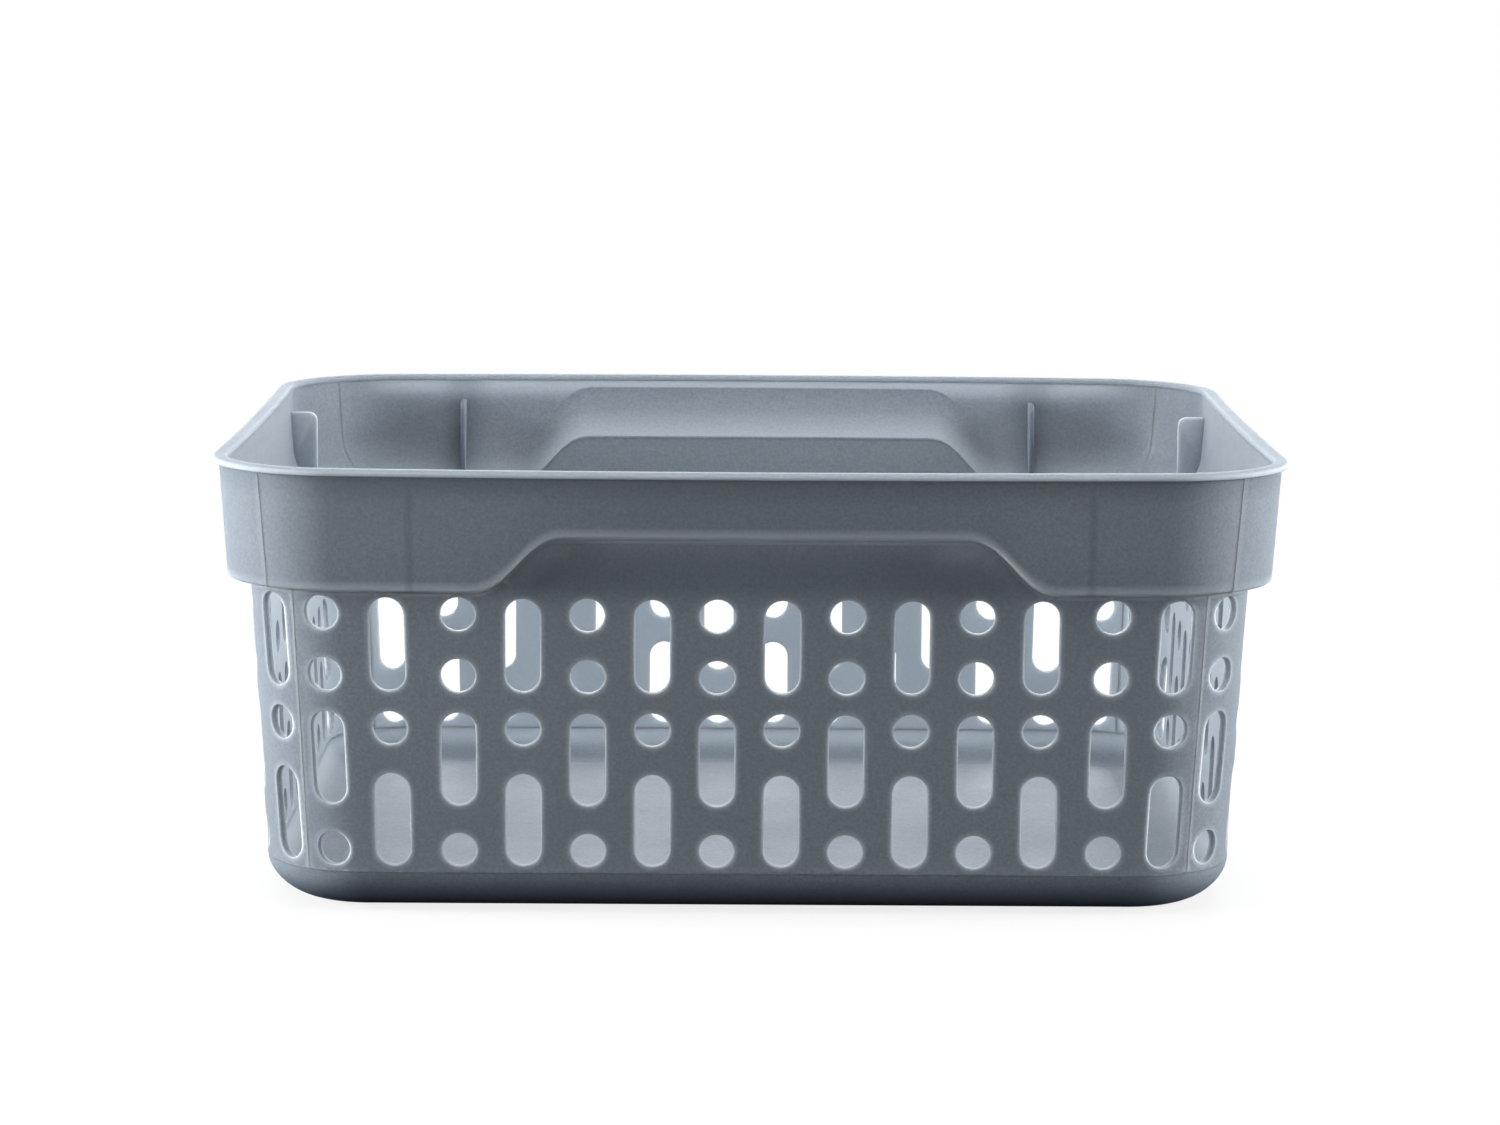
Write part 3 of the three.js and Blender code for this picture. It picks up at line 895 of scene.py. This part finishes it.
def make_floor(material):
    """The floor sheet, whose underside carries the gate mark."""
    edge = inward(wall_plan(WALL_FOOT), BASE_INSET + FOOT_WIDTH)
    border = outline_points(edge._replace(z=FLOOR_RECESS), np.array(places_round()))
    top_rings = [border * (share, share, 1) for share in FLOOR_SHARES]
    angles = np.array([math.atan2(y, x) for x, y, _ in border])
    marks = []
    for radius, rise in GATE_MARK:
        heights = np.full(len(angles), FLOOR_RECESS + rise)
        marks.append(np.stack([radius * np.cos(angles), radius * np.sin(angles), heights], axis=-1))
    under, under_faces = disc([*top_rings, *marks])
    top, top_faces = disc(top_rings)
    top[:, 2] = FLOOR_RECESS + FLOOR_THICKNESS
    start = len(under)
    faces = under_faces + [tuple(start + i for i in reversed(face)) for face in top_faces]
    count = len(border)
    faces += strip(list(range(start, start + count)), list(range(count)))
    points = np.concatenate([under, top])
    return make_piece("floor_sheet", points, faces, ["floor_panel"], material)


def disc(rings):
    """Points and faces of rings one in the other, closed by a point in the middle."""
    count = len(rings[0])
    middle = len(rings) * count
    faces = []
    for i in range(len(rings) - 1):
        outer = list(range(i * count, (i + 1) * count))
        faces += strip(outer, [j + count for j in outer])
    last = list(range(middle - count, middle))
    faces += [(last[i], middle, last[(i + 1) % count]) for i in range(count)]
    return np.concatenate([*rings, [(0, 0, rings[-1][0][2])]]), faces


# Shape of the stacking ribs

# Where a rib stands: how far its foot is sunk into the ramp, its back below the ramp's top, and
# its front clear of the wall
RIB_FOOT_SINK = 0.4
RIB_BACK_SINK = 1
RIB_FRONT_CLEARANCE = 0.3

# The rounding of its front corner and its steps
RIB_ROUNDING = 2.2
RIB_ROUNDING_STEPS = 6

# Its layers: how far from the middle in thicknesses, and their size as a share of its outline
RIB_LAYERS = ((-0.5, 0.955), (-0.38, 1), (0.38, 1), (0.5, 0.955))

# Painted shade darkens the long sides' ribs, and painted light lightens those of the ends.
RIB_SHADE = 2
RIB_GLOW = 0.9


def make_rib(side, sense, material):
    """A thin plate that stands on the ramp against the collar, with a rounded front corner."""
    on_long_side = side % 2 == 0
    outline = rib_outline(side, sense * (FRONT_RIB_PLACE if on_long_side else SIDE_RIB_PLACE))
    along = np.array([1, 0, 0] if on_long_side else [0, 1, 0])
    centre = outline.mean(axis=0)
    layers = []
    for offset, share in RIB_LAYERS:
        layers.append(centre + (outline - centre) * share + along * offset * RIB_THICKNESS)
    count = len(outline)
    last = len(layers) - 1
    faces = [tuple(reversed(range(count))), tuple(range(last * count, (last + 1) * count))]
    for i in range(last):
        lower = list(range(i * count, (i + 1) * count))
        faces += strip([j + count for j in lower], lower)
    # Seen along this axis, the outlines of the first two sides run the other way round.
    if side < 2:
        faces = [tuple(reversed(face)) for face in faces]
    points = np.concatenate(layers)
    name = f"{SIDES[side]}_stacking_rib_{1 if sense < 0 else 2}"
    return make_piece(
        name + "_plate", points, faces, [name], material,
        {
            # Painted light on the ends' ribs, painted shade on the long sides' ribs
            "painted_light": np.full(len(points), 0 if on_long_side else RIB_GLOW),
            "shade": np.full(len(points), RIB_SHADE if on_long_side else 0),
        },
    )


def rib_outline(side, run):
    """The outline of a rib, seen from its side, at a run from the middle of its wall."""
    ramp_start = COLLAR_FOOT - RAMP_START
    ramp_top = ramp_start + RAMP_RISE
    mid_wall = THICKNESS / 2

    def at(plan):
        return outline_points(plan, place_on_flat(side, run, straight_run(side, plan)))

    front = at(inward(wall_plan(ramp_start), THICKNESS + RIB_FRONT_CLEARANCE))
    low = at(inward(wall_plan(ramp_start - RIB_FOOT_SINK), THICKNESS))
    back_low = at(inward(collar_plan(ramp_top - RIB_BACK_SINK), mid_wall))
    back_top = at(inward(collar_plan(ramp_top + RIB_RISE), mid_wall))
    top_front = front.copy()
    top_front[2] = ramp_top + RIB_RISE
    towards_back = (back_top - top_front) / np.linalg.norm(back_top[:2] - top_front[:2])
    outline = [low, back_low, back_top]
    for angle in evenly_many(QUARTER_TURN, 0, RIB_ROUNDING_STEPS + 1):
        back = towards_back * RIB_ROUNDING * (1 - math.cos(angle))
        down = (0, 0, RIB_ROUNDING * (1 - math.sin(angle)))
        outline.append(top_front + back - down)
    outline.append(front)
    return np.array(outline)


# Materials

# The grain of the plastic, in features to the metre: clouds and the fine texture in its colour,
# wear in its roughness, and waves and the skin in its surface
CLOUDS = 22
TEXTURE = 1400
WEAR = 60
WAVES = 70
SKIN = 2600

# Shares of the plastic's colour that the clouds and the texture mix, and its change of roughness
CLOUD_SHARES = (0.97, 1.03)
TEXTURE_SHARE = 0.8
WEAR_REACH = 0.06

# How strong the waves are, and how deep in metres the waves and the skin
WAVES_STRENGTH = 0.25
WAVES_DEPTH = 0.0004
SKIN_DEPTH = 0.00008

# How far light scatters in the plastic, in metres, and by colour
SCATTER_REACH = 0.0035
SCATTER_SHARES = (1.05, 1.0, 0.95)

# The values of a noise between which it is spread out
NOISE_LOW = 0.3
NOISE_HIGH = 0.7

# The plastic's own colour, the colour of painted light, and the colour of painted shade
SHELL_COLOUR = (0.236, 0.276, 0.318)
PAINTED_LIGHT_COLOUR = (0.75, 0.83, 0.9, 1)
SHADE_COLOUR = (0.0826, 0.1104, 0.1447, 1)

WHITE = (1, 1, 1, 1)


def set_input(tree, socket, value):
    """Gives a socket a value, or links it to another node's output."""
    if hasattr(value, "is_linked"):
        tree.links.new(value, socket)
    else:
        socket.default_value = value


def add_node(tree, kind, **inputs):
    """A node, whose inputs are named with underscores."""
    node = tree.nodes.new(kind)
    for title, value in inputs.items():
        set_input(tree, node.inputs[title.replace("_", " ")], value)
    return node


def noise(tree, place, scale, detail=2.0):
    node = add_node(tree, "ShaderNodeTexNoise", Vector=place, Scale=scale, Detail=detail)
    return node.outputs["Fac"]


def spread(tree, value, low, high):
    """A noise spread out from low to high."""
    node = add_node(
        tree, "ShaderNodeMapRange",
        Value=value, From_Min=NOISE_LOW, From_Max=NOISE_HIGH, To_Min=low, To_Max=high,
    )
    return node.outputs["Result"]


def mix_colours(tree, share, first, second):
    """A mix of two colours. The node's inputs 6 and 7 are the ones for colours."""
    node = tree.nodes.new("ShaderNodeMix")
    node.data_type = "RGBA"
    set_input(tree, node.inputs[0], share)
    set_input(tree, node.inputs[6], first)
    set_input(tree, node.inputs[7], second)
    return node.outputs[2]


def calculate(tree, operation, first, second):
    node = tree.nodes.new("ShaderNodeMath")
    node.operation = operation
    for socket, value in zip(node.inputs, (first, second)):
        set_input(tree, socket, value)
    return node.outputs[0]


def attribute(tree, name, strength):
    """A mesh attribute times a strength."""
    node = tree.nodes.new("ShaderNodeAttribute")
    node.attribute_name = name
    return calculate(tree, "MULTIPLY", node.outputs["Fac"], strength)


def tone(share):
    """A share of the shell's colour."""
    return tuple(channel * share for channel in SHELL_COLOUR) + (1,)


def plastic(name, roughness, grain, glow=0.0, darkness=0.0, shine=0.25):
    """Matt polypropylene that lets a little light through, with a fine moulded grain."""
    material = bpy.data.materials.new(name)
    material.use_nodes = True
    tree = material.node_tree
    shader = tree.nodes["Principled BSDF"]
    place = tree.nodes.new("ShaderNodeTexCoord").outputs["Object"]
    wear = noise(tree, place, WEAR, detail=5)
    waves = add_node(
        tree, "ShaderNodeBump",
        Strength=WAVES_STRENGTH, Distance=WAVES_DEPTH, Height=noise(tree, place, WAVES),
    )
    skin = add_node(
        tree, "ShaderNodeBump",
        Strength=grain, Distance=SKIN_DEPTH, Height=noise(tree, place, SKIN),
        Normal=waves.outputs["Normal"],
    )
    inputs = {
        "Base Color": plastic_colour(tree, place, glow, darkness),
        "Roughness": spread(tree, wear, roughness - WEAR_REACH, roughness + WEAR_REACH),
        "Subsurface Weight": 1.0,
        "Subsurface Radius": SCATTER_SHARES,
        "Subsurface Scale": SCATTER_REACH,
        "Specular IOR Level": shine,
        "Normal": skin.outputs["Normal"],
    }
    for title, value in inputs.items():
        set_input(tree, shader.inputs[title], value)
    return material


def plastic_colour(tree, place, glow, darkness):
    """The colour with its clouds and texture, and the mesh's painted light and painted shade."""
    clouds = spread(tree, noise(tree, place, CLOUDS), 0, 1)
    texture = spread(tree, noise(tree, place, TEXTURE, detail=3), 0, 1)
    base = mix_colours(tree, clouds, *[tone(share) for share in CLOUD_SHARES])
    base = mix_colours(tree, texture, base, tone(TEXTURE_SHARE))
    # Painted light, then painted shade, mixed into the colour from the mesh's attributes
    if glow:
        base = mix_colours(tree, attribute(tree, "painted_light", glow), base, PAINTED_LIGHT_COLOUR)
    if darkness:
        base = mix_colours(tree, attribute(tree, "shade", darkness), base, SHADE_COLOUR)
    return base


# Stage, light and camera

# The floor reaches this many metres each way. The camera sees it mostly white near the basket,
# and all white from the end distance on.
FLOOR_REACH = 8.0
NEAR_WHITENESS = 0.8
WHITENESS_START = 0.15
WHITENESS_END = 0.5
FLOOR_UNSEEN = (0.05, 0.05, 0.052, 1)
FLOOR_SEEN = (0.9, 0.9, 0.9, 1)

SKY_COLOUR = (0.93, 0.96, 1, 1)
SKY_STRENGTH = 0.08

SoftBox = namedtuple("SoftBox", "name place target width height power")

# Places and sizes in metres, and power in watts. The small ones light the front corners and
# the inside.
SOFT_BOXES = (
    SoftBox("left_light", (-1.1, -0.12, 0.3), (0, -0.1, 0.05), 0.4, 0.5, 16.2),
    SoftBox("left_reflector", (-0.35, -0.2, 0.1), (-0.1, -0.1, 0.05), 0.1, 0.1, 0.4),
    SoftBox("right_reflector", (0.35, -0.2, 0.02), (0.1, -0.1, 0.04), 0.1, 0.1, 0.14),
    SoftBox("right_light", (1.1, -0.12, 0.3), (0, -0.1, 0.05), 0.5, 0.5, 15.6),
    SoftBox("front_light", (0, -1.5, 0.45), (0, 0, 0.05), 1.6, 0.5, 4.8),
    SoftBox("top_light", (0, -0.35, 1.25), (0, 0, 0.03), 1.2, 0.5, 5),
    SoftBox("inside_light", (0.12, -0.06, 0.5), (0.05, 0.1, 0.02), 0.4, 0.1, 0.5),
    SoftBox("back_light", (0, 1.3, 0.6), (0, 0, 0.05), 1.4, 0.8, 30),
)

# The camera stands where a fit to the photograph's outlines and holes puts it. Its yaw, pitch
# and roll are in radians.
CAMERA_PLACE = (-5.66, -1029.55, 223.9)
CAMERA_YAW = -0.0059
CAMERA_PITCH = 0.1497
CAMERA_ROLL = 0.0070
SENSOR_WIDTH = 36
FOCAL_LENGTH = 100.45


def whiteness(tree):
    """The floor's share of pure white: less near the basket, whose shadow shows there."""
    place = tree.nodes.new("ShaderNodeTexCoord").outputs["Object"]
    away = add_node(tree, "ShaderNodeVectorMath")
    away.operation = "LENGTH"
    set_input(tree, away.inputs[0], place)
    seen = tree.nodes.new("ShaderNodeLightPath").outputs["Is Camera Ray"]
    near = calculate(tree, "MULTIPLY", seen, NEAR_WHITENESS)
    node = add_node(
        tree, "ShaderNodeMapRange",
        Value=away.outputs["Value"], From_Min=WHITENESS_START, From_Max=WHITENESS_END,
        To_Min=near, To_Max=1.0,
    )
    return node.outputs["Result"]


def white_where_seen(tree, lit, white, share):
    """White for the camera, and for what mirrors or passes light, and lit as it is otherwise."""
    path = tree.nodes.new("ShaderNodeLightPath")
    seen = path.outputs["Is Camera Ray"]
    for title in ("Is Glossy Ray", "Is Transmission Ray"):
        seen = calculate(tree, "MAXIMUM", seen, path.outputs[title])
    mixer = tree.nodes.new("ShaderNodeMixShader")
    values = (calculate(tree, "MULTIPLY", seen, share), lit.outputs[0], white.outputs[0])
    for socket, value in zip(mixer.inputs, values):
        set_input(tree, socket, value)
    return mixer.outputs[0]


def make_stage():
    """The floor under the basket."""
    mesh = bpy.data.meshes.new("floor")
    signs = ((-1, -1), (1, -1), (1, 1), (-1, 1))
    corners = [(x * FLOOR_REACH, y * FLOOR_REACH, 0) for x, y in signs]
    mesh.from_pydata(corners, [], [(0, 1, 2, 3)])
    floor = bpy.data.objects.new("floor", mesh)
    bpy.context.scene.collection.objects.link(floor)
    material = bpy.data.materials.new("floor_white")
    material.use_nodes = True
    tree = material.node_tree
    tree.nodes.remove(tree.nodes["Principled BSDF"])
    seen = tree.nodes.new("ShaderNodeLightPath").outputs["Is Camera Ray"]
    paint = mix_colours(tree, seen, FLOOR_UNSEEN, FLOOR_SEEN)
    lit = add_node(tree, "ShaderNodeBsdfDiffuse", Color=paint)
    white = add_node(tree, "ShaderNodeEmission", Color=WHITE, Strength=1.0)
    surface = white_where_seen(tree, lit, white, whiteness(tree))
    set_input(tree, tree.nodes["Material Output"].inputs["Surface"], surface)
    mesh.materials.append(material)


def make_world():
    """A faint sky, which the camera sees as pure white."""
    world = bpy.data.worlds.new("studio")
    bpy.context.scene.world = world
    world.use_nodes = True
    tree = world.node_tree
    sky = tree.nodes["Background"]
    set_input(tree, sky.inputs["Color"], SKY_COLOUR)
    set_input(tree, sky.inputs["Strength"], SKY_STRENGTH)
    white = add_node(tree, "ShaderNodeBackground", Color=WHITE, Strength=1.0)
    surface = white_where_seen(tree, sky, white, 1.0)
    set_input(tree, tree.nodes["World Output"].inputs["Surface"], surface)


def make_light(box):
    light = bpy.data.lights.new(box.name, "AREA")
    light.shape = "RECTANGLE"
    light.size = box.width
    light.size_y = box.height
    light.energy = box.power
    holder = bpy.data.objects.new(box.name, light)
    holder.location = box.place
    towards = Vector(box.target) - Vector(box.place)
    holder.rotation_euler = towards.to_track_quat("-Z", "Y").to_euler()
    holder.visible_camera = False
    bpy.context.scene.collection.objects.link(holder)


def make_camera():
    sideways = Vector((math.cos(CAMERA_YAW), math.sin(CAMERA_YAW), 0))
    ahead = Vector((-math.sin(CAMERA_YAW), math.cos(CAMERA_YAW), 0))
    up = Vector((0, 0, 1))
    forward = math.cos(CAMERA_PITCH) * ahead - math.sin(CAMERA_PITCH) * up
    upright = math.sin(CAMERA_PITCH) * ahead + math.cos(CAMERA_PITCH) * up
    right = math.cos(CAMERA_ROLL) * sideways + math.sin(CAMERA_ROLL) * upright
    top = math.cos(CAMERA_ROLL) * upright - math.sin(CAMERA_ROLL) * sideways
    matrix = Matrix((right, top, -forward)).transposed().to_4x4()
    matrix.translation = Vector(CAMERA_PLACE) * METRES
    camera = bpy.data.cameras.new("camera")
    camera.sensor_width = SENSOR_WIDTH
    camera.lens = FOCAL_LENGTH
    holder = bpy.data.objects.new("camera", camera)
    holder.matrix_world = matrix
    bpy.context.scene.collection.objects.link(holder)
    bpy.context.scene.camera = holder


shell = plastic("shell_plastic", roughness=0.56, grain=0.5, glow=0.28, darkness=0.3)
lip = plastic("lip_plastic", roughness=0.85, grain=0.2, glow=0.35, shine=0.12)
base = plastic("base_plastic", roughness=0.56, grain=0.4, glow=0.28, darkness=0.9, shine=0.06)
inside = plastic("floor_plastic", roughness=0.6, grain=0.15)

make_lip(lip)
make_base(base)
make_floor(inside)
for number in range(4):
    make_collar(number, shell)
    make_wall(number, shell)
    make_rib(number, -1, shell)
    make_rib(number, 1, shell)

make_stage()
make_world()
for soft_box in SOFT_BOXES:
    make_light(soft_box)
make_camera()
bpy.context.scene.view_settings.view_transform = "Standard"
